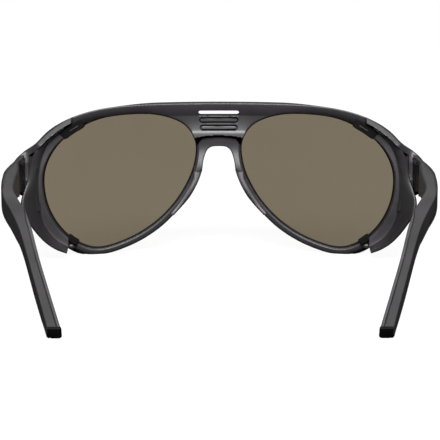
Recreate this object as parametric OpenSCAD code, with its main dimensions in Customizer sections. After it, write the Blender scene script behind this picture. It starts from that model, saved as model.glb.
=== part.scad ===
// Glacier glasses: aviator front, wrap-around side shields and two folding
// temples on screwed metal hinges. Millimetres. +Z is up, the front faces -Y,
// the wearer's left is +X. The glasses stand open on a table at z = 0, on the
// two rims and the two temple tips.

/* [Front] */
// Radius the whole front is curved to, about an upright axis
front_radius = 200; // [190:2:215]
// Depth of the rims and the bridge, front to back
rim_depth = 4.6; // [4.2:0.1:5]
// Width of the rim around each lens
rim_width = 2.8; // [2.7:0.05:2.95]
// Extra depth of the brow bar behind the rims
brow_extra = 1.4; // [0.8:0.1:2]
// Width of the raised hood along the outer edge of the brow
hood_width = 1.7; // [1.4:0.1:2]

/* [Lenses] */
// Thickness of each lens
lens_thickness = 1.8; // [1.4:0.1:2.2]
// How far each lens sits inside its groove
lens_bite = 0.8; // [0.5:0.1:1.1]

/* [Bridge] */
// Half length of the vent slot in the bridge
slot_half_length = 7.5; // [6.5:0.1:8]
// Depth of the two blind grooves below the vent slot
groove_depth = 1.4; // [0.8:0.1:2]

/* [Side shields] */
// Wall thickness of the side shields
shield_wall = 1.2; // [1:0.1:1.4]
// Radius of the rear edge of the shield's flared wall
shield_radius = 29.5; // [29:0.1:29.9]
// Radius where the flared wall leaves the rim
shield_base_radius = 22.8; // [22.4:0.1:23.2]
// Depth of the flared wall, front to back
shield_depth = 8.4; // [7.5:0.1:9]

/* [Nose pads] */
// How far the soft nose pads stand behind the rims
pad_height = 2.8; // [2:0.1:3.2]

/* [Hinges] */
// Radius of the hinge knuckles
knuckle_radius = 1.5; // [1.4:0.05:1.55]
// Radius of the hinge screw
screw_radius = 0.7; // [0.6:0.05:0.8]
// Radial clearance of the turning knuckle on its screw
screw_clearance = 0.05; // [0.03:0.01:0.08]

/* [Temples] */
// Thickness of the soft strip on the inner side of each temple
grip_thickness = 1.3; // [1:0.1:1.5]
// Radius of the wire inside each temple
wire_radius = 0.6; // [0.4:0.05:0.7]
// Gap between the temple's end and the front when open
butt_gap = 0.3; // [0.2:0.05:0.4]

/* [Hidden] */

// Y of the foremost point of the front; depths are measured back from here
front_y = -66.25;
// Points between two control points of every smooth outline
smooth = 6;
// Height no part of the model reaches
clear_top = 70;
// Facets the preview gives small and large round shapes
round_fn = 64;
large_fn = 240;

// Control points of the left lens opening, seen from the front plane (x, z)
lens_points = [
  [31.0, 51.2], [21.0, 50.5], [12.8, 47.2], [8.7, 41.2], [8.7, 34.2], [11.2, 26.6],
  [16.4, 18.2], [24.0, 10.7], [33.6, 5.2], [44.2, 2.6], [52.2, 6.0], [58.6, 12.4],
  [62.3, 21.0], [62.9, 30.6], [59.6, 38.8], [53.0, 45.2], [43.0, 49.8]
];
// Control points of the front's upper edge, from the middle round the end piece
brow_points = [
  [0, 55.0], [18, 54.9], [33, 54.5], [45, 53.1], [54.5, 50.3], [61.6, 45.8],
  [66.2, 41.4], [70.4, 38.6], [73.8, 35.2], [75.4, 30.2], [74.8, 26.0], [71.6, 23.8]
];
// Lower edge of the bridge: the nose arch, from the middle outwards
arch_points = [[0, 39.4], [2.4, 39.2], [3.9, 38.3], [4.8, 36.8], [5.6, 34.2], [5.9, 31.8]];

// Lower edge of the thicker brow bar
bar_bottom = 42.6;

// End piece and hinge
end_piece_back = 19;
hood_start = 49;
hood_extra = 2;
end_piece_inner_x = 68.4;
hinge_x = 71.3;
hinge_depth = 20.6;
pocket_x = [69.9, 73.1];
pocket_z = [24.9, 36.3];
pocket_front = 15.0;
knuckle_z = [25.4, 28.55, 32.05, 35.2];
knuckle_gap = 0.06;
leaf_thickness = 1.2;
screw_head_radius = 1.1;
screw_head_height = 0.7;
temple_leaf_back = 31;
temple_leaf_z = [26.6, 34.0];

// Lens centre used by the side shield's flared wall, and the wall's toe-in
shield_centre = [44, 27];
shield_turn = 14;
shield_upper_z = 23.3;
shield_upper_back = 18.6;
snap_x = 64.2;
snap_width = 3.2;
snap_z = [17.8, 32.0];
snap_thickness = 0.9;
band_thickness = 1.6;
ring_inner = 0.4;
ring_outer = 2.0;
pad_recess = 1.2;

// Temple, seen from above: depth and x of the outer and the inner face
temple_outer = [
  [19.3, 75.2], [26, 75.5], [34, 75.2], [45, 74.3], [58, 73.6], [70, 72.6], [78, 71.0],
  [84, 68.6], [90, 65.9], [96, 63.7], [106, 60.5], [132.5, 52.4]
];
temple_inner = [
  [19.3, 73.1], [24, 72.9], [30, 71.2], [36, 69.8], [45, 69.1], [58, 68.8], [70, 68.1],
  [78, 66.6], [84, 64.2], [90, 61.8], [96, 59.8], [106, 56.6], [132.5, 48.4]
];
// Temple, seen from the side: depth and z of the upper and the lower edge
temple_top = [
  [19.3, 39.0], [26, 38.5], [36, 37.7], [48, 36.9], [60, 36.0], [70, 35.0], [77, 33.8],
  [83, 31.4], [89, 28.2], [96, 24.3], [132.5, 3.7]
];
temple_bottom = [
  [19.3, 24.0], [26, 24.4], [36, 26.2], [48, 28.2], [60, 28.6], [70, 27.8], [77, 26.2],
  [83, 23.6], [89, 20.6], [96, 17.6], [130.4, 0]
];
grip_start = 66;
wire_front = [62.35, 97, 20.6];
wire_back = [52.3, 129, 3.4];

// ---- outlines -------------------------------------------------------------

function between(a, b, c, d, t) =
  0.5 * (2 * b + (c - a) * t + (2 * a - 5 * b + 4 * c - d) * t * t
    + (3 * b - a - 3 * c + d) * t * t * t);

function closed_curve(p) = [
  for (i = [0 : len(p) - 1])
    for (k = [0 : smooth - 1])
      between(
        p[(i - 1 + len(p)) % len(p)], p[i],
        p[(i + 1) % len(p)], p[(i + 2) % len(p)], k / smooth)
];

function open_curve(p) = concat(
  [
    for (i = [0 : len(p) - 2])
      for (k = [0 : smooth - 1])
        between(
          p[max(i - 1, 0)], p[i],
          p[i + 1], p[min(i + 2, len(p) - 1)], k / smooth)
  ],
  [p[len(p) - 1]]
);

function backwards(p) = [for (i = [len(p) - 1 : -1 : 0]) p[i]];
function mirrored(p) = [for (q = backwards(p)) [-q.x, q.y]];

// Direction pointing out of a counter-clockwise closed outline at point i
function outward(p, i) =
  let (d = p[(i + 1) % len(p)] - p[(i - 1 + len(p)) % len(p)])
  [d.y, -d.x] / norm(d);

function grown(p, by) = [for (i = [0 : len(p) - 1]) p[i] + by * outward(p, i)];

lens_curve = closed_curve(lens_points);
brow_curve = open_curve(brow_points);
arch_curve = open_curve(arch_points);

// Part of the lens curve the nose pad follows, top to bottom
pad_curve = [for (q = lens_curve) if (q.x < 19 && q.y > 13.6 && q.y < 31.2) q];

// The curve moved sideways, leaving out some points at both ends
function pad_side(by, spare) = [
  for (i = [spare : len(pad_curve) - 1 - spare])
    let (d = pad_curve[i + 1] - pad_curve[i - 1])
    pad_curve[i] + by * [d.y, -d.x] / norm(d)
];

// ---- helpers --------------------------------------------------------------

module on_right() {
  mirror([1, 0, 0]) children();
}

// Outline drawn as (x, z), running from one depth to another behind the front
module through_depth(from, to) {
  translate([0, front_y + to, 0])
    rotate([90, 0, 0])
      linear_extrude(to - from)
        children();
}

// Space between two depths that follows the curve of the front
module curved_layer(from, to) {
  translate([0, front_y + front_radius, -1])
    difference() {
      cylinder(r = front_radius - from, h = clear_top, $fn = large_fn);
      translate([0, 0, -1])
        cylinder(r = front_radius - to, h = clear_top + 2, $fn = large_fn);
    }
}

// Outline drawn as (x, z) cut out of a curved layer
module curved_plate(from, to) {
  intersection() {
    through_depth(from - 2, to + 36) children();
    curved_layer(from, to);
  }
}

module block(x, depth, z) {
  translate([x[0], front_y + depth[0], z[0]])
    cube([x[1] - x[0], depth[1] - depth[0], z[1] - z[0]]);
}

module upright_pin(r, z) {
  translate([hinge_x, front_y + hinge_depth, z[0]])
    cylinder(r = r, h = z[1] - z[0], $fn = round_fn);
}

module rod(from, to, r) {
  d = to - from;
  translate([from.x, front_y + from.y, from.z])
    rotate([0, acos(d.z / norm(d)), atan2(d.y, d.x)])
      cylinder(r = r, h = norm(d), $fn = round_fn);
}

module stadium(half_length, z, height) {
  r = height / 2;
  translate([0, z])
    square([2 * (half_length - r), height], center = true);
  for (side = [-1, 1])
    translate([side * (half_length - r), z])
      circle(r = r, $fn = round_fn);
}

// ---- front ----------------------------------------------------------------

module lens_outline(by) {
  polygon(grown(lens_curve, by));
}

// Outer edge of the rim, clockwise from the end piece to the nose arch
rim_edge = [
  for (q = backwards(grown(lens_curve, rim_width)))
    if (q.x > 40 ? q.y < 20.6 : q.y < 31.2) q
];

module front_outline() {
  half = concat(brow_curve, rim_edge, backwards(arch_curve));
  polygon(concat(half, mirrored(half)));
}

// The front's outline without the hood, open downwards
module inside_hood() {
  inner = [for (i = [1 : len(brow_curve) - 2])
    let (d = brow_curve[i + 1] - brow_curve[i - 1])
    brow_curve[i] + hood_width * [d.y, -d.x] / norm(d)];
  half = concat([[0, inner[0].y]], inner, [[70, -10], [0, -10]]);
  polygon(concat(half, mirrored(half)));
}

module between_end_pieces() {
  translate([-end_piece_inner_x, -10]) square([2 * end_piece_inner_x, 90]);
}

// Space behind a layer of the front, as wide and high as an outline
module behind(depth) {
  intersection() {
    through_depth(0, 40) children();
    translate([0, front_y + front_radius, -2])
      cylinder(r = front_radius - depth, h = clear_top, $fn = large_fn);
  }
}

// What is cut away behind the rims, the brow bar and the hood
module rear_cut() {
  behind(rim_depth)
    intersection() {
      inside_hood();
      between_end_pieces();
      translate([-80, -10]) square([160, bar_bottom + 10]);
    }
  behind(rim_depth + brow_extra)
    intersection() {
      inside_hood();
      between_end_pieces();
    }
  behind(rim_depth + brow_extra)
    translate([-hood_start, -10]) square([2 * hood_start, 90]);
  behind(rim_depth + brow_extra + hood_extra)
    between_end_pieces();
}

module pad_outline(inner, outer) {
  polygon(concat(pad_side(inner, 1), backwards(pad_side(outer, 2))));
}

module hinge_pocket() {
  block(pocket_x, [pocket_front, end_piece_back + 1], pocket_z);
}

module front_blank() {
  intersection() {
    through_depth(-1, end_piece_back) front_outline();
    translate([0, front_y + front_radius, -1])
      cylinder(r = front_radius, h = clear_top, $fn = large_fn);
    translate([-80, front_y - 5, 0]) cube([160, 60, clear_top]);
  }
}

module front_frame() {
  color([0.16, 0.155, 0.16])
    difference() {
      front_blank();
      rear_cut();
      through_depth(-2, 30) lens_outline(0);
      through_depth(-2, 30) mirror([1, 0]) lens_outline(0);
      curved_plate(1.4, 1.4 + lens_thickness) lens_outline(lens_bite);
      curved_plate(1.4, 1.4 + lens_thickness) mirror([1, 0]) lens_outline(lens_bite);
      behind(rim_depth - pad_recess) pad_outline(0.9, 3.6);
      behind(rim_depth - pad_recess) mirror([1, 0]) pad_outline(0.9, 3.6);
      through_depth(-2, 12) stadium(slot_half_length, 51.55, 1.6);
      behind(rim_depth + brow_extra - groove_depth) stadium(slot_half_length - 0.4, 48.75, 1.9);
      behind(rim_depth + brow_extra - groove_depth) stadium(slot_half_length - 0.7, 45.95, 1.9);
      hinge_pocket();
      on_right() hinge_pocket();
    }
}

module lens() {
  curved_plate(1.4, 1.4 + lens_thickness) lens_outline(lens_bite);
}

module lens_left() {
  color([0.47, 0.43, 0.36, 0.6]) lens();
}

module lens_right() {
  color([0.47, 0.43, 0.36, 0.6]) on_right() lens();
}

// ---- nose pads ------------------------------------------------------------

module nose_pad() {
  curved_plate(rim_depth - pad_recess, rim_depth + pad_height - 0.9) pad_outline(0.9, 3.6);
  curved_plate(rim_depth + pad_height - 0.9, rim_depth + pad_height) pad_outline(1.5, 3.0);
}

module nose_pad_left() {
  color([0.2, 0.2, 0.2]) nose_pad();
}

module nose_pad_right() {
  color([0.2, 0.2, 0.2]) on_right() nose_pad();
}

// ---- side shields ---------------------------------------------------------

module shield_frame_of_reference() {
  centre_depth = 9.2;
  translate([shield_centre.x, front_y + centre_depth, shield_centre.y])
    rotate([0, 0, shield_turn])
      rotate([-90, 0, 0])
        children();
}

// Conical layer between the shield's inner face + from and + to
module flared_layer(from, to) {
  shield_frame_of_reference()
    difference() {
      cylinder(r1 = shield_base_radius + to, r2 = shield_radius + to, h = shield_depth, $fn = round_fn);
      translate([0, 0, -0.01])
        cylinder(
          r1 = shield_base_radius + from, r2 = shield_radius + from,
          h = shield_depth + 0.02, $fn = round_fn);
    }
}

// Everything behind the rims
module behind_rims() {
  translate([0, front_y + front_radius, -1])
    cylinder(r = front_radius - rim_depth, h = clear_top, $fn = large_fn);
}

// Flared wall: deep below the hinge, shallow beside it
module flared_wall() {
  intersection() {
    flared_layer(-shield_wall, 0);
    behind_rims();
    union() {
      block([54, 80], [0, 60], [1.2, shield_upper_z]);
      intersection() {
        block([53, end_piece_inner_x - 0.05], [0, shield_upper_back], [shield_upper_z - 1, 41.5]);
        through_depth(0, 40) inside_hood();
      }
    }
  }
}

// Flange that follows the lens opening, from one clip to the other
module shield_band() {
  brow_depth = rim_depth + brow_extra;
  intersection() {
    curved_plate(rim_depth, brow_depth + 0.2) shield_ring();
    block([51, 80], [0, 60], [5.6, bar_bottom]);
  }
  intersection() {
    curved_plate(brow_depth, brow_depth + band_thickness) shield_ring();
    union() {
      block([51, 80], [0, 60], [5.6, bar_bottom]);
      block([49.6, 80], [0, 60], [bar_bottom - 1, 47.6]);
    }
  }
}

module shield_ring() {
  difference() {
    lens_outline(ring_outer);
    lens_outline(ring_inner);
  }
}

module clip_tabs() {
  curved_plate(rim_depth + brow_extra, rim_depth + brow_extra + 1.8)
    translate([49.6, 44.8]) square([3.2, 3.2]);
  curved_plate(rim_depth, rim_depth + brow_extra + 1.8)
    translate([51.0, 4.8]) square([3.0, 3.4]);
}

module side_shield() {
  flared_wall();
  shield_band();
  clip_tabs();
}

module side_shield_left() {
  color([0.12, 0.12, 0.12]) side_shield();
}

module side_shield_right() {
  color([0.12, 0.12, 0.12]) on_right() side_shield();
}

// Sprung tongue that snaps the shield on, lying on the flared wall's inner face
module shield_snap() {
  difference() {
    intersection() {
      flared_layer(-shield_wall - snap_thickness, -shield_wall);
      behind_rims();
      through_depth(4, shield_upper_back) {
        translate([snap_x, snap_z[0]]) square([snap_width, snap_z[1] - snap_z[0]]);
        translate([snap_x + snap_width / 2, snap_z[1]]) circle(d = snap_width, $fn = round_fn);
      }
    }
    through_depth(0, 40) lens_outline(ring_outer);
  }
}

module shield_snap_left() {
  color([0.14, 0.14, 0.14]) shield_snap();
}

module shield_snap_right() {
  color([0.14, 0.14, 0.14]) on_right() shield_snap();
}

// ---- hinges ---------------------------------------------------------------

module front_knuckle(z) {
  upright_pin(knuckle_radius, z);
  block([hinge_x - 1.1, hinge_x + 0.9], [pocket_front + leaf_thickness, hinge_depth], z);
}

module front_leaf() {
  difference() {
    union() {
      front_knuckle([knuckle_z[0], knuckle_z[1]]);
      front_knuckle([knuckle_z[2], knuckle_z[3]]);
      block([pocket_x[0], pocket_x[1]], [pocket_front, pocket_front + leaf_thickness],
        [knuckle_z[0], knuckle_z[3]]);
    }
    upright_pin(screw_radius, [knuckle_z[0] - 1, knuckle_z[3] + 1]);
  }
}

module temple_leaf_plate() {
  block([hinge_x + 0.5, hinge_x + 2.4], [hinge_depth + 1.2, hinge_depth + 2.6],
    [knuckle_z[1] + knuckle_gap, knuckle_z[2] - knuckle_gap]);
  block([hinge_x + 1.8, hinge_x + 2.9], [hinge_depth + 1.2, temple_leaf_back], temple_leaf_z);
}

module temple_leaf() {
  difference() {
    union() {
      upright_pin(knuckle_radius, [knuckle_z[1] + knuckle_gap, knuckle_z[2] - knuckle_gap]);
      temple_leaf_plate();
    }
    upright_pin(screw_radius + screw_clearance, [knuckle_z[0], knuckle_z[3]]);
  }
}

module screw() {
  difference() {
    union() {
      upright_pin(screw_radius, [knuckle_z[0], knuckle_z[3]]);
      upright_pin(screw_head_radius, [knuckle_z[3], knuckle_z[3] + screw_head_height]);
    }
    block([hinge_x - 2, hinge_x + 2], [hinge_depth - 0.2, hinge_depth + 0.2],
      [knuckle_z[3] + 0.4, knuckle_z[3] + 2]);
  }
}

module hinge_front_leaf_left() {
  color([0.5, 0.5, 0.52]) front_leaf();
}

module hinge_front_leaf_right() {
  color([0.5, 0.5, 0.52]) on_right() front_leaf();
}

module hinge_temple_leaf_left() {
  color([0.55, 0.55, 0.57]) temple_leaf();
}

module hinge_temple_leaf_right() {
  color([0.55, 0.55, 0.57]) on_right() temple_leaf();
}

module hinge_screw_left() {
  color([0.7, 0.7, 0.72]) screw();
}

module hinge_screw_right() {
  color([0.7, 0.7, 0.72]) on_right() screw();
}

// ---- temples --------------------------------------------------------------

outer_curve = open_curve(temple_outer);
inner_curve = open_curve(temple_inner);
top_curve = open_curve(temple_top);
bottom_curve = open_curve(temple_bottom);

// Soft strip's boundary inside the temple, from where the strip starts
grip_curve = [for (q = inner_curve) if (q.x > grip_start) q];
body_curve = [for (q = inner_curve) if (q.x <= grip_start) q];

function as_plan(p, by) = [for (q = p) [q.y + by, front_y + q.x]];

module temple_plan() {
  polygon(concat(
    as_plan(outer_curve, 0),
    backwards(as_plan(grip_curve, grip_thickness)),
    backwards(as_plan(body_curve, 0))
  ));
}

module grip_plan() {
  polygon(concat(
    as_plan(grip_curve, grip_thickness),
    backwards(as_plan(grip_curve, 0))
  ));
}

module temple_side() {
  side = concat(top_curve, backwards(bottom_curve));
  polygon([for (q = side) [front_y + q.x, q.y]]);
}

// Solid inside both the plan and the side view, under the brow's outline
module temple_solid() {
  intersection() {
    linear_extrude(clear_top) children();
    translate([40, 0, 0])
      rotate([90, 0, 90])
        linear_extrude(40)
          temple_side();
    through_depth(0, 140) temple_section_limit();
  }
}

// The temple's upper outer edge continues the front's rounded outline
module temple_section_limit() {
  polygon(concat(
    [for (q = brow_curve) if (q.x > 66 && q.y > 30) q],
    [[77, 29.5], [77, -1], [40, -1], [40, 41.4]]
  ));
}

module temple() {
  difference() {
    temple_solid() temple_plan();
    temple_leaf_plate();
    rod(wire_front, wire_back, wire_radius);
    block([40, 80], [0, 19 + butt_gap], [0, 60]);
  }
}

module temple_left() {
  color([0.18, 0.175, 0.18]) temple();
}

module temple_right() {
  color([0.18, 0.175, 0.18]) on_right() temple();
}

module grip() {
  temple_solid() grip_plan();
}

module temple_grip_left() {
  color([0.25, 0.25, 0.25]) grip();
}

module temple_grip_right() {
  color([0.25, 0.25, 0.25]) on_right() grip();
}

module temple_wire_left() {
  color([0.6, 0.6, 0.6]) rod(wire_front, wire_back, wire_radius);
}

module temple_wire_right() {
  color([0.6, 0.6, 0.6]) on_right() rod(wire_front, wire_back, wire_radius);
}

front_frame();
lens_left();
lens_right();
nose_pad_left();
nose_pad_right();
side_shield_left();
side_shield_right();
shield_snap_left();
shield_snap_right();
hinge_front_leaf_left();
hinge_front_leaf_right();
hinge_temple_leaf_left();
hinge_temple_leaf_right();
hinge_screw_left();
hinge_screw_right();
temple_left();
temple_right();
temple_grip_left();
temple_grip_right();
temple_wire_left();
temple_wire_right();
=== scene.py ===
"""Looks of the glacier glasses: moulded front, tinted lenses, side shields and temples.

Lengths below are millimetres. A place is (x, depth, z): x to the wearer's left, depth
rearwards from the foremost point of the front, z up from the table.
"""

import math

import bpy
import numpy as np
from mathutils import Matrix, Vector


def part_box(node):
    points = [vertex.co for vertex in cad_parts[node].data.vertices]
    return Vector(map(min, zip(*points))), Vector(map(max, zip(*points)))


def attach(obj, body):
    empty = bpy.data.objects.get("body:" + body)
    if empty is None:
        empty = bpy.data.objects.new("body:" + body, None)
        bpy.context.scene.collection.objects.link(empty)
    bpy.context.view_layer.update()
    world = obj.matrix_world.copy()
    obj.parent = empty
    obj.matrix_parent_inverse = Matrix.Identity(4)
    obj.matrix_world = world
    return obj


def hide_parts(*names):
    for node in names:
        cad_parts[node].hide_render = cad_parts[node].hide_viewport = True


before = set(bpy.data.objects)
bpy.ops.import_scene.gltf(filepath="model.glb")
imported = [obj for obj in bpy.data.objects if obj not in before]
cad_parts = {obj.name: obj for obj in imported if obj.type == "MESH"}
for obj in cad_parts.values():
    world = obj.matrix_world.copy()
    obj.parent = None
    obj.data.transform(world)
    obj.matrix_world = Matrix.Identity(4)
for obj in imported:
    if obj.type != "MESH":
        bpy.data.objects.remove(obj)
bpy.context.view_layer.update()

MM = 0.001
FRONT_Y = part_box("front_frame")[0][1] / MM
SIDES = (("left", 1), ("right", -1))

# The front is curved to this radius about an upright axis. A layer is a distance inwards
# from its foremost surface.
FRONT_RADIUS = 200.0
RIM_DEPTH = 4.6
BROW_DEPTH = 6.0
RIM_WIDTH = 2.8
# The raised hood along the outer brow: its highest layer and its width
HOOD_DEPTH = 8.0
HOOD_WIDTH = 1.75
# The rim's opening stands this far outside the lens curve, and a black ring fills the gap: painted
# shade
OPENING_GAP = 0.4
# Rear end of the block that carries the hinge
BUTT_DEPTH = 19.0
# Front and rear layers of a lens, and how far its glass reaches under the rim
LENS_LAYER = (1.4, 3.2)
LENS_OVERLAP = 0.9

# Half of the front as (x, z): one lens, the brow from the middle to below the hinge, and
# the arch over the nose
LENS_POINTS = [
    (31.0, 51.2), (21.0, 50.5), (12.8, 47.2), (8.7, 41.2), (8.7, 34.2), (11.2, 26.6),
    (16.4, 18.2), (24.0, 10.7), (33.6, 5.2), (44.2, 2.5), (52.4, 5.6), (58.7, 12.4),
    (62.3, 21.0), (62.9, 30.6), (59.6, 38.8), (53.0, 45.2), (43.0, 49.8),
]
BROW_POINTS = [
    (0, 55.2), (18, 55.1), (33, 54.7), (45, 53.3), (54.5, 50.4), (61.6, 45.8),
    (66.2, 41.4), (70.4, 38.6), (73.8, 35.2), (75.4, 30.2), (74.8, 26.0), (71.6, 23.8),
]
ARCH_POINTS = [(0, 39.4), (2.4, 39.2), (3.9, 38.3), (4.8, 36.8), (5.6, 34.2), (5.9, 31.8)]


# ---- curves ---------------------------------------------------------------


def spline(points, steps=6, closed=False):
    """Catmull-Rom curve through the points, with steps points for each span."""
    p = np.array(points, float)
    if closed:
        p = np.vstack([p[-1:], p, p[:2]])
    else:
        p = np.vstack([p[:1], p, p[-1:]])
    a, b, c, d = p[:-3, None], p[1:-2, None], p[2:-1, None], p[3:, None]
    t = (np.arange(steps) / steps)[None, :, None]
    q = 0.5 * (
        2 * b + (c - a) * t + (2 * a - 5 * b + 4 * c - d) * t**2
        + (3 * b - a - 3 * c + d) * t**3
    )
    q = q.reshape(-1, p.shape[1])
    return q if closed else np.vstack([q, p[-2:-1]])


def evenly(curve, count):
    """The open curve resampled to count points evenly along its length."""
    along = np.concatenate([[0], np.cumsum(np.linalg.norm(np.diff(curve, axis=0), axis=1))])
    at = np.linspace(0, along[-1], count)
    return np.stack([np.interp(at, along, curve[:, k]) for k in range(curve.shape[1])], 1)


def outward(curve):
    """Unit directions out of a counter-clockwise closed curve."""
    d = np.roll(curve, -1, 0) - np.roll(curve, 1, 0)
    return np.stack([d[:, 1], -d[:, 0]], 1) / np.linalg.norm(d, axis=1)[:, None]


def depth_at(x, layer):
    """Depth of a layer of the curved front at x."""
    return FRONT_RADIUS - np.sqrt((FRONT_RADIUS - layer) ** 2 - x**2)


def layer_at(x, depth):
    """Layer of the curved front that has this depth at x."""
    return FRONT_RADIUS - np.sqrt(x**2 + (FRONT_RADIUS - depth) ** 2)


def smoothstep(low, high, v):
    """0 before low, 1 after high, and a smooth rise between; low may be the larger."""
    t = np.clip((v - low) / (high - low), 0, 1)
    return t * t * (3 - 2 * t)


def smooth_max(a, b, radius):
    """Larger of two fields, with the edge between them rounded."""
    return np.maximum(a, b) + np.maximum(radius - np.abs(a - b), 0) ** 2 / (4 * radius)


def signed_distance(outline, x, z):
    """Distance of points from a closed outline, negative inside."""
    best = np.full(x.shape, 1e9)
    inside = np.zeros(x.shape, bool)
    for (ax, az), (bx, bz) in zip(outline, np.roll(outline, -1, 0)):
        dx, dz = bx - ax, bz - az
        along = np.clip(((x - ax) * dx + (z - az) * dz) / (dx * dx + dz * dz), 0, 1)
        best = np.minimum(best, (x - ax - along * dx) ** 2 + (z - az - along * dz) ** 2)
        if dz != 0:
            crosses = ((az > z) != (bz > z)) & (x < dx * (z - az) / dz + ax)
            inside ^= crosses
    return np.where(inside, -1, 1) * np.sqrt(best)


lens_curve = spline(LENS_POINTS, closed=True)
lens_out = outward(lens_curve)
brow_curve = spline(BROW_POINTS)
arch_curve = spline(ARCH_POINTS)


def front_outline():
    """Outline of the whole front, both halves."""
    x, z = lens_curve.T
    # The rim widens where it meets the shield's lower clip
    wider = 1.3 * smoothstep(44, 51, x) * smoothstep(59, 55, x) * (z < 15)
    rim = (lens_curve + (RIM_WIDTH + wider)[:, None] * lens_out)[::-1]
    low = np.where(rim[:, 0] > 40, rim[:, 1] < 20.6, rim[:, 1] < 31.2)
    start = int(np.argmax(low & ~np.roll(low, 1)))
    rim, low = np.roll(rim, -start, 0), np.roll(low, -start)
    half = np.vstack([brow_curve, rim[low], arch_curve[::-1]])
    other = half[::-1] * [-1, 1]
    return np.vstack([half, other[1:-1]])


outline = front_outline()


# ---- mesh building --------------------------------------------------------


def place(points):
    """Points as (x, depth, z) in millimetres, turned into metres in the frame."""
    p = np.asarray(points, float)
    return np.stack([p[..., 0], p[..., 1] + FRONT_Y, p[..., 2]], -1) * MM


def new_piece(name, points, faces, body, material, stands_for, sharp, side=1):
    """A mesh piece from points in millimetres and faces, riding on a body.

    With side -1 it is the mirror image, for the wearer's right. stands_for lists the CAD
    nodes it replaces, and edges steeper than sharp, in degrees, are not smoothed over.
    """
    if side < 0:
        points = points * [-1, 1, 1]
        faces = turned(faces)
    mesh = bpy.data.meshes.new(name)
    mesh.from_pydata(place(points).tolist(), [], faces)
    mesh.validate()
    mesh.materials.append(material)
    piece = bpy.data.objects.new(name, mesh)
    bpy.context.scene.collection.objects.link(piece)
    mesh.polygons.foreach_set("use_smooth", [True] * len(mesh.polygons))
    mesh.set_sharp_from_angle(angle=math.radians(sharp))
    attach(piece, body)
    if stands_for:
        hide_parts(*stands_for)
    return piece


def ring_quads(first, second, around):
    """Quads between two rings, each given by the number of its first point."""
    quads = []
    for k in range(around):
        n = (k + 1) % around
        quads.append((first + k, first + n, second + n, second + k))
    return quads


def tube_faces(rings, around):
    """Faces of rings of points joined one after another, with flat ends."""
    faces = []
    for i in range(rings - 1):
        faces += ring_quads(i * around, (i + 1) * around, around)
    faces.append(tuple(range(around))[::-1])
    faces.append(tuple((rings - 1) * around + k for k in range(around)))
    return faces


def turned(faces):
    """The faces seen from the other side."""
    return [face[::-1] for face in faces]


def tube_from(rings):
    """Points and faces of a tube from its rings of points."""
    rings = np.asarray(rings)
    return rings.reshape(-1, 3), tube_faces(rings.shape[0], rings.shape[1])


def normals_of(grid):
    """Unit normals of a grid of points (rows, columns, 3)."""
    du = np.gradient(grid, axis=0)
    dv = np.gradient(grid, axis=1)
    n = np.cross(du, dv)
    return n / np.linalg.norm(n, axis=-1, keepdims=True)


def shell_piece(grid, thickness, edge=0.35):
    """Closed shell from its inner surface, with rounded long edges; points and faces."""
    n = normals_of(grid)
    back = grid + n * thickness
    mid = grid + n * thickness / 2
    start = grid[:, 0] - grid[:, 1]
    start /= np.linalg.norm(start, axis=1, keepdims=True)
    end = grid[:, -1] - grid[:, -2]
    end /= np.linalg.norm(end, axis=1, keepdims=True)

    def lip(at, way):
        """Columns of points round the edge at one end of the grid's rows."""
        rounds = []
        for turn in (30, 90, 150):
            a = math.radians(turn)
            across = n[:, at] * (thickness / 2) * -math.cos(a)
            rounds.append(mid[:, at] + across + way * edge * math.sin(a))
        return rounds

    loop = [grid[:, j] for j in range(grid.shape[1])]
    loop += lip(-1, end)
    loop += [back[:, j] for j in range(grid.shape[1] - 1, -1, -1)]
    loop += lip(0, start)[::-1]
    return tube_from(np.stack(loop, 1))


# ---- materials ------------------------------------------------------------


def noise(nodes, links, coords, scale, detail=3.0, roughness=0.55):
    """Noise over the object's own coordinates; its value."""
    texture = nodes.new("ShaderNodeTexNoise")
    texture.inputs["Scale"].default_value = scale
    texture.inputs["Detail"].default_value = detail
    texture.inputs["Roughness"].default_value = roughness
    links.new(coords.outputs["Object"], texture.inputs["Vector"])
    return texture.outputs["Fac"]


def ramp(nodes, links, value, stops):
    """Colour ramp over a value; stops are (place, colour)."""
    node = nodes.new("ShaderNodeValToRGB")
    while len(node.color_ramp.elements) < len(stops):
        node.color_ramp.elements.new(0.5)
    for element, (at, colour) in zip(node.color_ramp.elements, stops):
        element.position = at
        element.color = (*colour, 1)
    links.new(value, node.inputs["Fac"])
    return node.outputs["Color"]


def scaled(colour, by):
    """The colour made darker or lighter."""
    return tuple(c * by for c in colour)


def moulded(name, colour, rough, grain, bump, spread=0.16, metallic=0.0, specular=0.5):
    """Moulded or machined surface: mottled colour, uneven gloss and a fine grain."""
    material = bpy.data.materials.new(name)
    material.use_nodes = True
    nodes, links = material.node_tree.nodes, material.node_tree.links
    shader = nodes["Principled BSDF"]
    shader.inputs["Metallic"].default_value = metallic
    shader.inputs["Specular IOR Level"].default_value = specular
    coords = nodes.new("ShaderNodeTexCoord")
    mottled = noise(nodes, links, coords, 90, 4)
    stops = [(0.3, scaled(colour, 1 - spread)), (0.7, scaled(colour, 1 + spread))]
    links.new(ramp(nodes, links, mottled, stops), shader.inputs["Base Color"])
    uneven_gloss(nodes, links, shader, coords, 420, rough - 0.05, rough + 0.05)
    relief = nodes.new("ShaderNodeBump")
    relief.inputs["Strength"].default_value = bump
    relief.inputs["Distance"].default_value = 0.00006
    links.new(noise(nodes, links, coords, grain, 2), relief.inputs["Height"])
    links.new(relief.outputs["Normal"], shader.inputs["Normal"])
    return material


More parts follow.
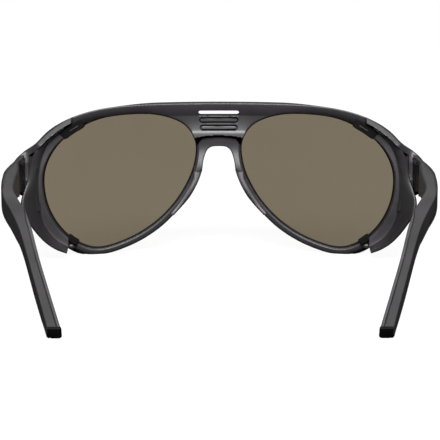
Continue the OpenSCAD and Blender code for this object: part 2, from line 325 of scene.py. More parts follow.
def brushed(name, colour, rough, stretch):
    """Steel with fine drawn lines along one direction."""
    material = moulded(name, colour, rough, 2600, 0.2, metallic=1.0)
    nodes, links = material.node_tree.nodes, material.node_tree.links
    coords = nodes.new("ShaderNodeTexCoord")
    mapping = nodes.new("ShaderNodeMapping")
    mapping.inputs["Scale"].default_value = stretch
    links.new(coords.outputs["Object"], mapping.inputs["Vector"])
    lines = nodes.new("ShaderNodeTexNoise")
    lines.inputs["Scale"].default_value = 900
    links.new(mapping.outputs["Vector"], lines.inputs["Vector"])
    relief = next(n for n in nodes if n.bl_idname == "ShaderNodeBump")
    links.new(lines.outputs["Fac"], relief.inputs["Height"])
    return material


def uneven_gloss(nodes, links, shader, coords, scale, low, high):
    """Roughness that wanders between low and high."""
    gloss = nodes.new("ShaderNodeMapRange")
    gloss.inputs["To Min"].default_value = low
    gloss.inputs["To Max"].default_value = high
    links.new(noise(nodes, links, coords, scale), gloss.inputs["Value"])
    links.new(gloss.outputs["Result"], shader.inputs["Roughness"])


def tinted_glass(name, colour):
    """Tinted lens with a faint unevenness in its coating."""
    material = bpy.data.materials.new(name)
    material.use_nodes = True
    nodes, links = material.node_tree.nodes, material.node_tree.links
    shader = nodes["Principled BSDF"]
    shader.inputs["Transmission Weight"].default_value = 1.0
    shader.inputs["IOR"].default_value = 1.5
    coords = nodes.new("ShaderNodeTexCoord")
    cloud = noise(nodes, links, coords, 28, 2)
    stops = [(0.25, scaled(colour, 0.98)), (0.75, scaled(colour, 1.02))]
    links.new(ramp(nodes, links, cloud, stops), shader.inputs["Base Color"])
    uneven_gloss(nodes, links, shader, coords, 160, 0.02, 0.06)
    return material


nylon = moulded("satin_nylon", (0.033, 0.031, 0.0335), 0.38, 3800, 0.3, specular=0.6)
temple_nylon = moulded("temple_nylon", (0.030, 0.0285, 0.030), 0.44, 3200, 0.5)
# The shield's wall and its band are one plastic in two colours: the wall's darker copy is painted
# shade, the band's paler copy painted highlight
shield_plastic = moulded("shield_plastic", (0.023, 0.0216, 0.023), 0.38, 3800, 0.3)
band_painted_light_plastic = moulded("shield_band_painted_light", (0.045, 0.042, 0.045), 0.42, 3800, 0.3)
tab_plastic = moulded("tab_plastic", (0.005, 0.0048, 0.005), 0.6, 3800, 0.3, specular=0.12)
# The pads are coloured much paler than the frame: painted highlight on the rubber
pad_rubber = moulded("pad_rubber", (0.15, 0.14, 0.149), 0.5, 2400, 0.5)
grip_rubber = moulded("grip_rubber", (0.048, 0.046, 0.048), 0.58, 2400, 0.5)
# Near-black for painted shade: the ring round each lens and the end of each temple tip
shade_black = moulded("painted_shade_black", (0.004, 0.004, 0.004), 0.7, 3000, 0.2, specular=0.1)
hinge_steel = brushed("hinge_steel", (0.1, 0.1, 0.105), 0.4, (1, 1, 12))
screw_steel = brushed("screw_steel", (0.42, 0.42, 0.43), 0.25, (1, 1, 1))
wire_steel = brushed("wire_steel", (0.4, 0.4, 0.4), 0.3, (12, 1, 1))
lens_glass = tinted_glass("tinted_glass", (0.19, 0.158, 0.113))


# ---- front ----------------------------------------------------------------

# The vent slot through the bridge: half length, height and middle
SLOT_HALF_LENGTH = 7.5
SLOT_HEIGHT = 1.9
SLOT_Z = 51.45
# The two rings pressed into the bridge below it: (middle, half length), and their height
RINGS = ((48.9, 7.1), (46.2, 6.8))
RING_HEIGHT = 2.0
BAR_BOTTOM = 43.3
# Pocket in the hinge block, as x, z and the depth where it starts
POCKET_X = (69.9, 73.1)
POCKET_Z = (24.9, 36.3)
POCKET_DEPTH = 15.0


def stadium(x, z, half_length, centre, height):
    """Distance from a flat bar with round ends, negative inside."""
    r = height / 2
    return np.hypot(np.maximum(np.abs(x) - (half_length - r), 0), z - centre) - r


def rear_layer(x, z, to_lens, to_edge):
    """Layer of the front's rear surface, from the distances to the lens opening and the edge."""
    across_rim = np.where(to_lens < 1.0, (to_lens - 1.0) / 0.7, (to_lens - 1.0) / 2.2)
    bead = np.sqrt(np.maximum(1 - across_rim**2, 0))
    rim = 3.4 + 1.65 * bead
    # The brow bar leans forward towards its lower edge, and its top edge is bevelled
    away = 0.35 + 0.65 * smoothstep(14, 36, x)
    brow = BROW_DEPTH - away * 0.13 * np.clip(to_edge - 0.4, 0, 4.2) ** 2
    bar_end = BAR_BOTTOM - 0.75 * np.minimum(x / 8.7, 1) ** 2
    brow_part = smoothstep(bar_end - 0.3, bar_end + 0.3, z)
    layer = rim + (brow - rim) * brow_part

    # The bridge leans back more and more towards its lower edge
    near_bridge = 1 - smoothstep(8.5, 17, x)
    low = np.clip((45.3 - z) / 2.0, 0, 1.3)
    lean = 0.022 * np.clip(52 - z, 0, 9) ** 2 + 0.8 * low**2
    layer = layer + lean * near_bridge * brow_part

    # Below the bar: a deep gap, then the arch, then the legs down to the pads
    arch_part = (1 - brow_part) * (x < 13) * (z > 30.5)
    leg = 6.0 + 2.7 * smoothstep(40.5, 29.5, z) - 0.8 * smoothstep(1.3, 0.3, to_lens)
    arch_top = 43.0 - 0.45 * (x / 5.9) ** 2
    outer_line = (x - 6.1) * 0.865 + (z - 42.5) * 0.502
    recess = np.maximum(smoothstep(-0.15, 0.2, z - arch_top), smoothstep(-0.15, 0.2, outer_line))
    recess = recess * smoothstep(38.4, 39.2, z)
    layer = np.where(arch_part > 0, layer + (leg - recess * 3.4 - layer) * arch_part, layer)

    # Rings pressed into the bridge
    for centre, half_length in RINGS:
        ring = np.abs(stadium(x, z, half_length, centre, RING_HEIGHT) + 0.22)
        layer = layer - 1.1 * smoothstep(0.3, 0.15, ring)

    # The hood along the outer brow, and the block that carries the hinge
    hood = smoothstep(HOOD_WIDTH + 0.35, HOOD_WIDTH - 0.05, to_edge) * smoothstep(52.4, 53.2, x)
    hood = hood * smoothstep(29, 31, z)
    ridge = HOOD_DEPTH - 1.3 + 0.9 * np.clip(to_edge, 0, HOOD_WIDTH)
    layer = layer + (ridge - layer) * hood
    block = smoothstep(68.2, 68.5, x)
    block_layer = 14
    return layer + (block_layer - layer) * block


def front_field(x, depth, z, flat=None):
    """Negative inside the front. flat holds what depends on x and z alone, if known."""
    edge, lens, rear = flat if flat else front_flat(x, z)
    t = layer_at(x, depth)
    # The upper edge falls away towards the front
    fall = 0.02 + 0.1 * smoothstep(22, 40, x)
    edge = edge + fall * np.maximum(BROW_DEPTH - t, 0) * smoothstep(46, 51, z)
    f = smooth_max(edge, OPENING_GAP - lens, 0.4)
    f = smooth_max(f, t - rear, 0.42)
    f = smooth_max(f, -t, 0.8)
    # The hinge block's rear face leans forward towards its top
    block_lean = 0.4 * np.maximum(z - 29, 0) * smoothstep(63.5, 70, x)
    f = smooth_max(f, depth - BUTT_DEPTH + block_lean, 0.5)
    slot = stadium(x, z, SLOT_HALF_LENGTH, SLOT_Z, SLOT_HEIGHT)
    f = smooth_max(f, -slot, 0.1)
    across = np.maximum(POCKET_X[0] - x, x - POCKET_X[1])
    upright = np.maximum(POCKET_Z[0] - z, z - POCKET_Z[1])
    pocket = np.maximum(np.maximum(across, upright), POCKET_DEPTH - depth)
    return smooth_max(f, -pocket, 0.6)


def front_flat(x, z):
    """What depends on x and z alone: distances to the edge and the lens, and the rear layer."""
    edge = signed_distance(outline, x, z)
    lens = signed_distance(lens_curve, x, z)
    return edge, lens, rear_layer(x, z, lens, -edge)


def net_of(field_values, origin, step):
    """Surface net: one point in each cell that the surface crosses, and the faces between."""
    inside = field_values < 0
    nx, ny, nz = field_values.shape
    total = np.zeros((nx - 1, ny - 1, nz - 1, 3), np.float32)
    count = np.zeros((nx - 1, ny - 1, nz - 1), np.float32)
    span = [slice(0, -1), slice(1, None)]
    # Each cell's point is the mean of the crossings on its edges
    for axis in range(3):
        low = [slice(None)] * 3
        high = [slice(None)] * 3
        low[axis], high[axis] = span
        a, b = field_values[tuple(low)], field_values[tuple(high)]
        crossing = inside[tuple(low)] != inside[tuple(high)]
        where = np.argwhere(crossing)
        t = a[crossing] / (a[crossing] - b[crossing])
        p = where.astype(np.float32)
        p[:, axis] += t
        others = [k for k in range(3) if k != axis]
        for i in (0, -1):
            for j in (0, -1):
                cell = where.copy()
                cell[:, others[0]] += i
                cell[:, others[1]] += j
                ok = np.all((cell >= 0) & (cell < np.array(count.shape)), axis=1)
                index = tuple(cell[ok].T)
                np.add.at(total, index, p[ok])
                np.add.at(count, index, 1)
    used = count > 0
    number = np.full(count.shape, -1, np.int64)
    number[used] = np.arange(used.sum())
    points = total[used] / count[used][:, None] * step + origin
    cells = np.argwhere(used)
    faces = []
    # Each crossed grid edge gives a quad between the four cells around it
    for axis in range(3):
        low = [slice(None)] * 3
        high = [slice(None)] * 3
        low[axis], high[axis] = span
        a, b = inside[tuple(low)], inside[tuple(high)]
        where = np.argwhere(a != b)
        o1, o2 = [(axis + 1) % 3, (axis + 2) % 3]
        keep = (where[:, o1] > 0) & (where[:, o2] > 0)
        keep &= (where[:, o1] < field_values.shape[o1] - 1)
        keep &= (where[:, o2] < field_values.shape[o2] - 1)
        where = where[keep]
        corners = []
        for i, j in ((-1, -1), (0, -1), (0, 0), (-1, 0)):
            cell = where.copy()
            cell[:, o1] += i
            cell[:, o2] += j
            corners.append(number[tuple(cell.T)])
        quad = np.stack(corners, 1)
        flip = ~a[tuple(where.T)]
        quad[flip] = quad[flip][:, ::-1]
        faces.append(quad)
    return points, np.vstack(faces), cells


def onto_surface(points, times=3):
    """Moves points onto the front's true surface, down the field's slope in short steps."""
    tiny = 0.02
    longest = 0.12
    for _ in range(times):
        x, d, z = points.T
        f = front_field(x, d, z)
        g = np.stack([
            front_field(x + tiny, d, z) - f,
            front_field(x, d + tiny, z) - f,
            front_field(x, d, z + tiny) - f,
        ], 1) / tiny
        size = np.maximum((g * g).sum(1), 0.25)
        points = points - np.clip(f / size, -longest, longest)[:, None] * g
    return points


def build_front():
    """The moulded front, netted on its left half and mirrored."""
    step = 0.2
    # The first column of cells lies across the middle plane
    x = np.arange(-step / 2, 77.5, step)
    depth = np.arange(-1.0, 20.2, step)
    z = np.arange(-1.5, 56.6, step)
    flat_x, flat_z = np.meshgrid(x, z, indexing="ij")
    flat = [v[:, None, :] for v in front_flat(flat_x, flat_z)]
    values = front_field(x[:, None, None], depth[None, :, None], z[None, None, :], flat)
    origin = np.array([x[0], depth[0], z[0]])
    points, quads, cells = net_of(values.astype(np.float32), origin, step)
    on_middle = cells[:, 0] == 0
    points[on_middle, 0] = 0
    points = onto_surface(points.astype(float))
    points[on_middle, 0] = 0
    # Mirror, sharing the points in the middle plane
    number = np.arange(len(points))
    other = np.where(on_middle, number, len(points) + np.cumsum(~on_middle) - 1)
    both = np.vstack([points, points[~on_middle] * [-1, 1, 1]])
    faces = np.vstack([quads, other[quads][:, ::-1]])
    return new_piece(
        "front_frame_moulding", both, faces.tolist(), "front", nylon,
        ["front_frame"], 60,
    )


# ---- lenses ---------------------------------------------------------------


def lens_ring(ring, layer):
    """The ring of (x, z) points laid on a layer of the front."""
    return np.stack([ring[:, 0], depth_at(ring[:, 0], layer), ring[:, 1]], 1)


def build_lens(side_name, side):
    """Curved lens, a little larger than its opening."""
    centre = lens_curve.mean(0)
    edge = lens_curve + LENS_OVERLAP * lens_out
    rings = 14
    around = len(edge)
    shares = np.linspace(0.0, 1.0, rings + 1)[1:]
    flats = [centre + (edge - centre) * k for k in shares]
    points = [lens_ring(flat, layer) for layer in LENS_LAYER for flat in flats]
    points += [lens_ring(centre[None, :], layer) for layer in LENS_LAYER]
    first_tip = 2 * rings * around
    faces = []
    for face_side in (0, 1):
        base = face_side * rings * around
        disc = []
        for i in range(rings - 1):
            disc += ring_quads(base + i * around, base + (i + 1) * around, around)
        for k in range(around):
            disc.append((first_tip + face_side, base + (k + 1) % around, base + k))
        faces += disc if face_side == 1 else turned(disc)
    front_last = (rings - 1) * around
    rear_last = front_last + rings * around
    for k in range(around):
        n = (k + 1) % around
        faces.append((front_last + n, front_last + k, rear_last + k, rear_last + n))
    new_piece("lens_" + side_name + "_glass", np.vstack(points), faces, "front", lens_glass,
              ["lens_" + side_name], 40, side)


def build_lens_shade_ring(side_name, side):
    """Black ring round the rear of the lens, closed: painted shade where the lens meets the rim."""
    # Distance out from the lens curve, and layer
    profile = [(0.9, 2.6), (0.05, 3.1), (-0.08, 3.3), (0.0, 3.7), (0.25, 3.95), (0.9, 3.8)]
    rings = [lens_ring(lens_curve + by * lens_out, layer) for by, layer in profile]
    count = len(lens_curve)
    points = np.stack(rings, 1).reshape(-1, 3)
    wide = len(profile)
    faces = []
    for i in range(count):
        n = (i + 1) % count
        for k in range(wide):
            m = (k + 1) % wide
            faces.append((i * wide + k, n * wide + k, n * wide + m, i * wide + m))
    new_piece("lens_" + side_name + "_edge", points, faces, "front", shade_black,
              [], 60, side)


# ---- nose pads ------------------------------------------------------------


def build_nose_pad(side_name, side):
    """Soft pad moulded on to the inner rim beside the nose, coloured pale as a painted highlight.
    """
    inner = (lens_curve[:, 0] < 19) & (lens_curve[:, 1] > 13.4) & (lens_curve[:, 1] < 32.4)
    line, out = lens_curve[inner], lens_out[inner]
    order = np.argsort(-line[:, 1])
    both = evenly(np.hstack([line[order], out[order]]), 34)
    line, out = both[:, :2], both[:, 2:]
    lowest = RIM_DEPTH - 1.2
    rings = []
    for i, share in enumerate(np.linspace(0, 1, len(line))):
        # Top layer of the pad, and the distances of its two edges from the lens curve
        rise = (0.98 + 0.14 * smoothstep(0, 0.25, share)) * (1 - 0.8 * smoothstep(0.3, 0.85, share))
        top = RIM_DEPTH + 3.7 * rise * smoothstep(1.03, 0.98, share)
        lip = 3.4 - 0.45 * smoothstep(0.5, 1.0, share)
        near = 0.7 + 0.8 * smoothstep(0.04, 0.22, share)
        profile = [
            (near, RIM_DEPTH - 1.0), (near - 0.05, RIM_DEPTH + 0.1), (near, top - 0.9),
            (near + 0.1, top - 0.5), (near + 0.3, top - 0.15), (near + 0.6, top), (2.45, top - 0.1),
            (2.8, top - 0.4), (lip - 0.28, top - 0.95), (lip, top - 1.6),
            (lip, RIM_DEPTH - 0.4), (lip - 0.3, lowest),
        ]
        ring = []
        for by, layer in profile:
            x, z = line[i] + by * out[i]
            ring.append((x, depth_at(x, max(layer, lowest)), z))
        rings.append(ring)
    points, faces = tube_from(rings)
    new_piece("nose_pad_" + side_name + "_rubber", points, faces, "front", pad_rubber,
              ["nose_pad_" + side_name], 60, side)


# ---- side shields ---------------------------------------------------------

# Foot of the shield on the lens opening, then the crease (offset from the opening),
# then the rear edge as (x, depth, z), all from the upper clip round to the lower one
SHIELD_CREASE = [3.5, 3.2, 2.5, 1.9, 1.8, 2.1, 3.0, 3.8, 4.0, 3.9]
SHIELD_REAR = [
    (55.6, 15.9, 47.4), (60.4, 17.2, 44.2), (65.0, 18.2, 39.9), (67.6, 18.4, 34.0),
    (68.1, 19.2, 29.6), (69.1, 20.6, 26.4), (70.1, 23.0, 22.0), (69.1, 24.2, 18.2),
    (65.9, 23.7, 12.9), (61.9, 22.6, 8.0), (58.1, 21.7, 5.2), (54.5, 20.6, 3.6),
]
SHIELD_COLUMNS = 110
SHIELD_THICKNESS = 1.15
# Where the shield starts and ends along the lens curve, in spans of LENS_POINTS
SHIELD_SPANS = (10.35, 14.75)
# Rows of the shield's surface that make the band along the rim
BAND_ROWS = (2, 3, 4, 5, 6)
CURVE_STEPS = len(lens_curve) // len(LENS_POINTS)


def shield_surface():
    """Inner surface of the shield as a grid of points, foot to rear edge."""
    start, end = SHIELD_SPANS
    picked = np.arange(int(start * CURVE_STEPS), int(end * CURVE_STEPS) + 1)[::-1]
    foot = evenly(lens_curve[picked], SHIELD_COLUMNS)
    way = evenly(lens_curve[picked] + lens_out[picked] * 2, SHIELD_COLUMNS) - foot
    share = np.linspace(0, 1, SHIELD_COLUMNS)
    # Both ends are cut upright
    way[:, 0] *= smoothstep(0, 0.2, share) * smoothstep(1, 0.8, share)
    way /= np.linalg.norm(way, axis=1, keepdims=True)
    crease = np.interp(share, np.linspace(0, 1, len(SHIELD_CREASE)), SHIELD_CREASE)
    rear = evenly(spline(SHIELD_REAR, 8), SHIELD_COLUMNS)

    def on_layer(by, layer):
        """The foot moved outwards by a distance and laid on a layer of the front."""
        p = foot + way * (by[:, None] if np.ndim(by) else by)
        return np.stack([p[:, 0], depth_at(p[:, 0], layer), p[:, 1]], 1)

    band_start = on_layer(0.85, 6.2)
    band_end = on_layer(crease, 6.45)
    band_end[:, 1] = band_start[:, 1] + 0.15
    rows = [on_layer(0.45, 4.6), on_layer(0.45, 5.6), on_layer(0.6, 6.05), band_start]
    rows += [band_start + (band_end - band_start) * k for k in (0.3, 0.6, 0.92)]
    # A fine ridge runs along the crease
    ridge = on_layer(crease + 0.03, 6.45)
    ridge[:, 1] = band_end[:, 1] + 0.16
    rows.append(ridge)
    for k in (0.03, 0.12, 0.3, 0.5, 0.7, 0.88, 1.0):
        p = band_end + (rear - band_end) * k
        p[:, 1] += 0.5 * math.sin(math.pi * k**0.8)
        rows.append(p)
    return np.stack(rows, 1)


def build_shield(side_name, side):
    """Thin wall of the shield; its band along the rim is coloured paler, a painted highlight."""
    points, faces = shell_piece(shield_surface(), SHIELD_THICKNESS)
    wall = new_piece("side_shield_" + side_name + "_wall", points, faces, "front", shield_plastic,
                     ["side_shield_" + side_name], 35, side)
    wall.data.materials.append(band_painted_light_plastic)
    # The band's rows take the paler copy of the plastic: painted highlight
    around = len(points) // SHIELD_COLUMNS
    for i, face in enumerate(wall.data.polygons):
        if i % around in BAND_ROWS and len(face.vertices) == 4:
            face.material_index = 1


def clip_block(picked, offsets, layers, bevel):
    """Bevelled block along some points of the lens curve; points and faces."""
    line = evenly(np.hstack([lens_curve[picked], lens_out[picked]]), 8)
    (near, far), (start, end) = offsets, layers
    profile = [
        (near, start), (near, end - bevel), (near + bevel, end),
        (far - bevel, end), (far, end - bevel), (far, start),
    ]
    rings = []
    for row in line:
        ring = []
        for by, layer in profile:
            x, z = row[:2] + by * row[2:]
            ring.append((x, depth_at(x, layer), z))
        rings.append(ring)
    points = np.array(rings)
    # The ends are bevelled too
    for end_ring, inner_ring in ((0, 1), (-1, -2)):
        middle = points[end_ring].mean(0)
        points[end_ring] = middle + (points[end_ring] - middle) * 0.86
        points[end_ring] += (points[inner_ring] - points[end_ring]) * 0.1
    return tube_from(points)


def build_bead_end(side_name, side):
    """Round end of the rim's bead, beside the shield's lower clip."""
    cx, cz, radius = 53.6, 3.5, 1.1
    around = 14
    rings = []
    for turn in range(8, 173, 16):
        a = math.radians(turn)
        ring = []
        for k in range(around):
            b = 2 * math.pi * k / around
            x = cx + 1.25 * radius * math.sin(a) * math.cos(b)
            z = cz + radius * math.sin(a) * math.sin(b)
            ring.append((x, depth_at(x, RIM_DEPTH) - radius * math.cos(a), z))
        rings.append(ring)
    points, faces = tube_from(rings)
    new_piece("bead_end_" + side_name, points, turned(faces), "front", nylon,
              [], 60, side)


def build_clips(side_name, side):
    """Clips that hold the shield to the brow and to the lower rim."""
    # Spans along the lens curve, distances out from it, and layers
    blocks = [
        ("upper_clip", (14.74, 15.36), (-0.45, 3.1), (3.6, 6.6), tab_plastic),
        ("lower_clip", (9.88, 10.18), (-0.8, 1.3), (3.4, 6.0), tab_plastic),
        ("upper_rivets", (15.1, 15.3), (0.9, 1.3), (5.6, 6.9), nylon),
    ]
    for label, (start, end), offsets, layers, finish in blocks:
        picked = np.arange(int(start * CURVE_STEPS), int(end * CURVE_STEPS) + 2)
        points, faces = clip_block(picked, offsets, layers, 0.3)
        new_piece("side_shield_" + side_name + "_" + label, points, faces, "front",
                  finish, [], 30, side)


# ---- temples --------------------------------------------------------------

# The temple from the hinge to its tip: outer and inner faces as (depth, x), then the top
# and bottom edges as (depth, z)
TEMPLE_OUTER = [
    (19.3, 75.2), (26, 75.5), (34, 75.2), (45, 74.3), (58, 73.6), (70, 72.4), (78, 70.6),
    (84, 68.0), (90, 65.3), (96, 63.2), (106, 60.2), (132.5, 52.4),
]
TEMPLE_INNER = [
    (19.3, 73.1), (24, 72.9), (30, 71.2), (36, 69.8), (45, 69.1), (58, 68.8), (70, 68.1),
    (78, 66.1), (84, 63.2), (90, 60.9), (96, 59.2), (106, 56.4), (132.5, 48.1),
]
TEMPLE_TOP = [
    (19.3, 39.8), (26, 38.9), (36, 37.9), (48, 36.9), (60, 36.0), (70, 35.0), (77, 33.8),
    (83, 31.4), (89, 28.2), (96, 24.3), (132.5, 3.7),
]
TEMPLE_BOTTOM = [
    (19.3, 24.0), (26, 24.4), (36, 26.2), (48, 28.2), (60, 28.6), (70, 27.8), (77, 26.2),
    (83, 23.6), (89, 20.6), (96, 17.6), (130.4, 0),
]
# Where the soft strip starts, the length over which it rises, and its full width
GRIP_START = 82.0
GRIP_RAMP = 8.0
GRIP_WIDTH = 1.5
# The inner top edge, as (depth, x), where it reaches over the hinge
LIP_INNER = [(19.3, 70.4), (25, 70.3), (31, 70.1), (38, 69.6), (45, 69.1)]


def corner(radius, start, segments=5):
    """Offsets (across, up) of a rounded corner from the centre of its arc."""
    angles = [math.radians(start + 90 * k / segments) for k in range(segments + 1)]
    return [(radius * math.cos(a), radius * math.sin(a)) for a in angles]


def between(low, high, share):
    """Point that lies a share of the way from one point (depth, z) to another."""
    return low[0] + (high[0] - low[0]) * share, low[1] + (high[1] - low[1]) * share


def grip_grown(depth):
    """Share of the soft strip's full width at a depth."""
    return smoothstep(GRIP_START, GRIP_START + GRIP_RAMP, depth)


def temple_stations():
    """Top and bottom points (depth, z) along the temple, and three functions of the depth.

    They give the x of its outer face, of its inner face and of its inner top edge.
    """
    top = spline(TEMPLE_TOP, 8)
    bottom = spline(TEMPLE_BOTTOM, 8)
    outer = spline(TEMPLE_OUTER, 8)
    inner = spline(TEMPLE_INNER, 8)
    lip = spline(LIP_INNER, 8)

    def outer_x(s):
        return np.interp(s, outer[:, 0], outer[:, 1])

    def inner_x(s):
        return np.interp(s, inner[:, 0], inner[:, 1])

    def lip_x(s):
        return np.minimum(inner_x(s), np.interp(s, lip[:, 0], lip[:, 1], right=99))

    return top, bottom, outer_x, inner_x, lip_x


def outer_outline(low, edge, height):
    """Outer half of the temple's section, bottom to top: (share of the height, inset)."""
    outline = [((low + up) / height, low - x) for x, up in corner(low, 270)[::-1]]
    outline += [(share, 0) for share in (0.3, 0.42, 0.54, 0.64, 0.73, 0.8, 0.86, 0.91)]
    outline += [(1 - (edge - up) / height, edge - x) for x, up in corner(edge, 0)]
    return outline


def inner_outline(edge, height):
    """Inner half of the temple's section, top to bottom: (share of the height, inset)."""
    foot = 0.3
    outline = [(1 - (edge - up) / height, edge + x) for x, up in corner(edge, 90)]
    outline += [(share, 0) for share in (0.85, 0.8, 0.7, 0.55, 0.4)]
    outline += [((foot + up) / height, foot + x) for x, up in corner(foot, 180)]
    return outline


def build_temple(side_name, side):
    """Arm of the temple: tall at the hinge, then a slim bar that drops to the tip."""
    top, bottom, outer_x, inner_x, lip_x = temple_stations()
    # The outer end of the brow, which the temple's front end stays inside
    falling = brow_curve[(brow_curve[:, 0] > 60) & (brow_curve[:, 1] > 30.2)][::-1]
    rings = []
    for (ts, tz), (bs, bz) in zip(top, bottom):
        brow_z = np.interp(-lip_x(ts) - 0.2, -falling[:, 0], falling[:, 1])
        tz = min(tz, brow_z + 2 * smoothstep(19.3, 38, ts))
        height = tz - bz
        width = outer_x(ts) - inner_x(ts)
        grip = GRIP_WIDTH * grip_grown(ts)
        # Radii of the edges: large near the hinge, small along the bar
        soft = smoothstep(80, 62, ts)
        tip = smoothstep(122, 131, ts)
        elbow = smoothstep(72, 84, ts) * smoothstep(116, 98, ts)
        low_edge = 0.5 + 0.8 * soft + 0.6 * tip + 1.2 * elbow
        outer_edge = 0.28 + min(1.0, 0.3 * width) * soft
        inner_edge = 0.15 + min(1.2, 0.35 * width) * soft

        ring = []
        for share, inset in outer_outline(low_edge, outer_edge, height):
            s, z = between((bs, bz), (ts, tz), share)
            limit = np.interp(z, falling[:, 1], falling[:, 0]) + 1.2 * smoothstep(19.3, 38, s)
            ring.append((min(outer_x(s), limit) - inset, s, z))
        farthest = ring[-1][0] - 0.1
        for share, inset in inner_outline(inner_edge, height):
            s, z = between((bs, bz), (ts, tz), share)
            reach = smoothstep(0.7, 1.0, share) if ts < 40 else 0
            x = inner_x(s) + (lip_x(s) - inner_x(s)) * reach + grip + inset
            if share > 0.9:
                x = min(x, farthest)
            ring.append((x, s, z))
        rings.append(ring)
    points, faces = tube_from(rings)
    new_piece("temple_" + side_name + "_arm", points, turned(faces), side_name + "_temple",
              temple_nylon, ["temple_" + side_name], 38, side)


def build_tip_shade(side_name, side):
    """Black end of the temple's tip, rounded at its lower corners: painted shade on the end face,
    which faces down.
    """
    low, high = TEMPLE_BOTTOM[-1], TEMPLE_TOP[-1]
    inner = TEMPLE_INNER[-1][1]
    width = TEMPLE_OUTER[-1][1] - inner
    height = math.hypot(high[1] - low[1], high[0] - low[0])
    # Near the tip, the bar drops and comes inwards by this much for each millimetre of depth
    drop, inwards = 0.56, 0.31
    corners = [
        (width, height, 0.35, 0),
        (0, height, 0.35, 90),
        (0, 0, 1.1, 180),
        (width, 0, 1.1, 270),
    ]
    section = []
    for cx, cz, radius, start in corners:
        across = cx + (radius if cx == 0 else -radius)
        up = cz + (radius if cz == 0 else -radius)
        section += [(across + dx, up + dz) for dx, dz in corner(radius, start)]
    rings = []
    for grow, ahead in ((0.99, -0.5), (0.99, 0.12), (0.93, 0.3), (0.8, 0.36)):
        ring = []
        for across, up in section:
            x = inner + width / 2 + (across - width / 2) * grow
            s, z = between(low, high, 0.5 + (up / height - 0.5) * grow)
            ring.append((x - ahead * inwards, s + ahead, z - ahead * drop + 0.1))
        rings.append(ring)
    points, faces = tube_from(rings)
    new_piece("temple_" + side_name + "_tip_shade", points, faces, side_name + "_temple",
              shade_black, [], 40, side)


def build_grip(side_name, side):
    """Soft strip along the inner side, which rises out of it, with a narrow gap at the top."""
    top, bottom, _, inner_x, _ = temple_stations()
    gap, gap_depth = 0.42, 1.1
    narrow = GRIP_WIDTH - gap
    rings = []
    for (ts, tz), (bs, bz) in zip(top, bottom):
        if ts < GRIP_START:
            continue
        height = math.hypot(tz - bz, ts - bs)
        grown = max(grip_grown(ts), 0.05)
        # Its first end is sunk into the temple
        sunk = 0.15 * smoothstep(GRIP_START + 2, GRIP_START, ts)
        profile = [
            (GRIP_WIDTH, 0.1), (0.35, 0.06), (0.1, 0.2), (0.0, 0.5), (-0.05, height * 0.5),
            (0.0, height - 0.7), (0.12, height - 0.36), (0.42, height - 0.08),
            (narrow - 0.2, height), (narrow - 0.04, height - 0.08), (narrow, height - 0.25),
            (narrow, height - gap_depth), (GRIP_WIDTH, height - gap_depth),
        ]
        ring = []
        for across, up in profile:
            s, z = between((bs, bz), (ts, tz), up / height)
            ring.append((inner_x(s) + across * grown + sunk, s, z))
        rings.append(ring)
    points, faces = tube_from(rings)
    new_piece("temple_" + side_name + "_grip", points, turned(faces), side_name + "_temple",
              grip_rubber, ["temple_grip_" + side_name], 40, side)


def paint_cad(name, material):
    """Puts a better material on a CAD node that stays as it is."""
    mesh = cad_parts[name].data
    mesh.materials.clear()
    mesh.materials.append(material)


# ---- assembly -------------------------------------------------------------

build_front()
for side_name, side in SIDES:
    build_lens(side_name, side)
    build_lens_shade_ring(side_name, side)
    build_nose_pad(side_name, side)
    build_shield(side_name, side)
    build_clips(side_name, side)
    build_bead_end(side_name, side)
    build_temple(side_name, side)
    build_tip_shade(side_name, side)
    build_grip(side_name, side)
    # The snap takes the shield's darker copy of the plastic: painted shade
    paint_cad("shield_snap_" + side_name, shield_plastic)
    paint_cad("hinge_front_leaf_" + side_name, hinge_steel)
    paint_cad("hinge_temple_leaf_" + side_name, hinge_steel)
    paint_cad("hinge_screw_" + side_name, screw_steel)
    paint_cad("temple_wire_" + side_name, wire_steel)


# ---- stage ----------------------------------------------------------------


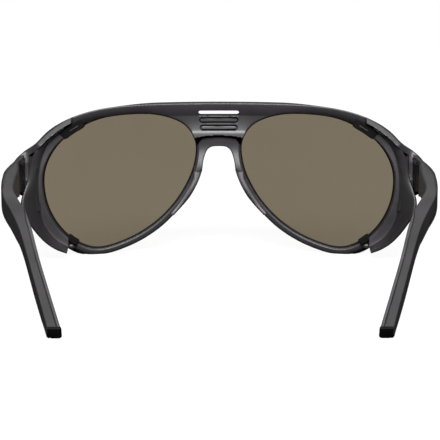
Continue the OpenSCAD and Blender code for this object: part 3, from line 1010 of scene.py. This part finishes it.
def build_floor():
    """Plain pale floor, large enough to fill the view."""
    size = 6.0
    mesh = bpy.data.meshes.new("floor")
    corners = [(-size, -size, 0), (size, -size, 0), (size, size, 0), (-size, size, 0)]
    mesh.from_pydata(corners, [], [(0, 1, 2, 3)])
    floor = bpy.data.objects.new("floor", mesh)
    bpy.context.scene.collection.objects.link(floor)
    material = bpy.data.materials.new("pale_floor")
    material.use_nodes = True
    nodes, links = material.node_tree.nodes, material.node_tree.links
    shader = nodes["Principled BSDF"]
    shader.inputs["Roughness"].default_value = 0.9
    shader.inputs["Specular IOR Level"].default_value = 0.0
    coords = nodes.new("ShaderNodeTexCoord")
    colour = ramp(nodes, links, noise(nodes, links, coords, 3),
                  [(0.3, (0.10, 0.10, 0.10)), (0.7, (0.104, 0.104, 0.104))])
    links.new(colour, shader.inputs["Base Color"])
    shader.inputs["Emission Color"].default_value = (1, 1, 1, 1)
    shader.inputs["Emission Strength"].default_value = 0.93
    mesh.materials.append(material)
    floor.visible_diffuse = False
    floor.visible_glossy = False


def area_light(name, place_at, aim, size, power):
    """Soft rectangular light at a place, turned towards its aim; metres and watts."""
    data = bpy.data.lights.new(name, "AREA")
    data.shape = "RECTANGLE"
    data.size, data.size_y = size
    data.energy = power
    light = bpy.data.objects.new(name, data)
    light.location = place_at
    light.rotation_euler = (Vector(aim) - Vector(place_at)).to_track_quat("-Z", "Y").to_euler()
    bpy.context.scene.collection.objects.link(light)


def build_lights():
    """Large soft key light behind the glasses, with weak lights around and a faint world."""
    middle = (0, 0, 0.03)
    area_light("key", (0, 1.35, 1.5), middle, (1.5, 0.9), 74)
    area_light("overhead", (0, -0.1, 1.6), middle, (1.6, 0.8), 4)
    area_light("front", (0, -1.6, 1.2), middle, (1.4, 0.7), 3)
    for side in (1, -1):
        area_light("upper_side", (1.1 * side, 1.2, 1.15), middle, (0.5, 0.5), 9)
    world = bpy.data.worlds.new("studio")
    world.use_nodes = True
    world.node_tree.nodes["Background"].inputs["Color"].default_value = (1, 1, 1, 1)
    world.node_tree.nodes["Background"].inputs["Strength"].default_value = 0.02
    bpy.context.scene.world = world


def build_camera():
    """Camera behind the glasses and a little above them, aimed at the middle of the front."""
    distance, elevation, turn = 0.700, math.radians(11.2), math.radians(0.24)
    target = Vector((0, FRONT_Y * MM, 0.0108))
    back = Vector((
        math.sin(turn) * math.cos(elevation),
        math.cos(turn) * math.cos(elevation),
        math.sin(elevation),
    ))
    data = bpy.data.cameras.new("camera")
    data.sensor_width = 36
    data.lens = 154.6
    data.shift_x = 0.003
    data.clip_start, data.clip_end = 0.01, 50
    camera = bpy.data.objects.new("camera", data)
    camera.location = target + back * distance
    camera.rotation_euler = (-back).to_track_quat("-Z", "Y").to_euler()
    bpy.context.scene.collection.objects.link(camera)
    bpy.context.scene.camera = camera


build_floor()
build_lights()
build_camera()
bpy.context.scene.view_settings.view_transform = "Standard"
